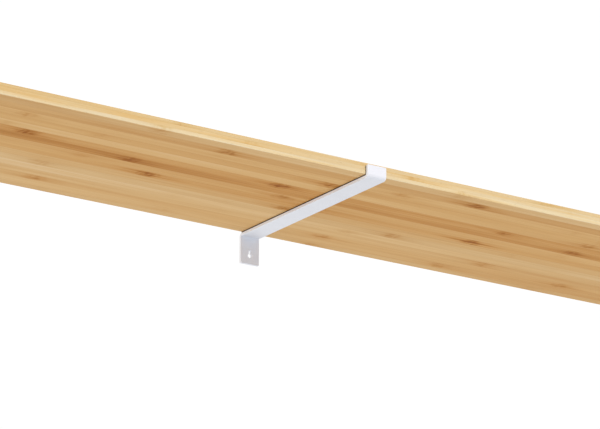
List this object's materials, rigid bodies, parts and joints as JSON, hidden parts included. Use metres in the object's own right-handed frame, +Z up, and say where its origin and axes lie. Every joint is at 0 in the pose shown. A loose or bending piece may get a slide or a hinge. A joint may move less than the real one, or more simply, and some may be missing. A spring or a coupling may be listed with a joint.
{
  "type": "wall shelf with brackets",
  "caption": "Long bamboo wall shelf: a glued layered board lying in bent steel strip brackets, each with a keyhole wall tab and a front lip.",
  "frame": {"origin": "centre of the middle bracket's keyhole head hole, in the wall plane", "axes": "+X along the shelf to the right as seen from the room, +Y into the wall, +Z up"},
  "size_m": [1.8, 0.31, 0.0603],
  "materials": {
    "bamboo": "clear satin lacquer over sanded bamboo strips",
    "white_powder_coat": "white semi-gloss powder coat",
    "liner_rubber": "matt, dark brown"
  },
  "bodies": {
    "root": {"shelf_top_layer": "bamboo", "shelf_core_layer": "bamboo", "shelf_bottom_layer": "bamboo", "bracket_left": "white_powder_coat", "bracket_middle": "white_powder_coat", "bracket_right": "white_powder_coat", "liner_left": "liner_rubber", "liner_middle": "liner_rubber", "liner_right": "liner_rubber"}
  },
  "joints": []
}
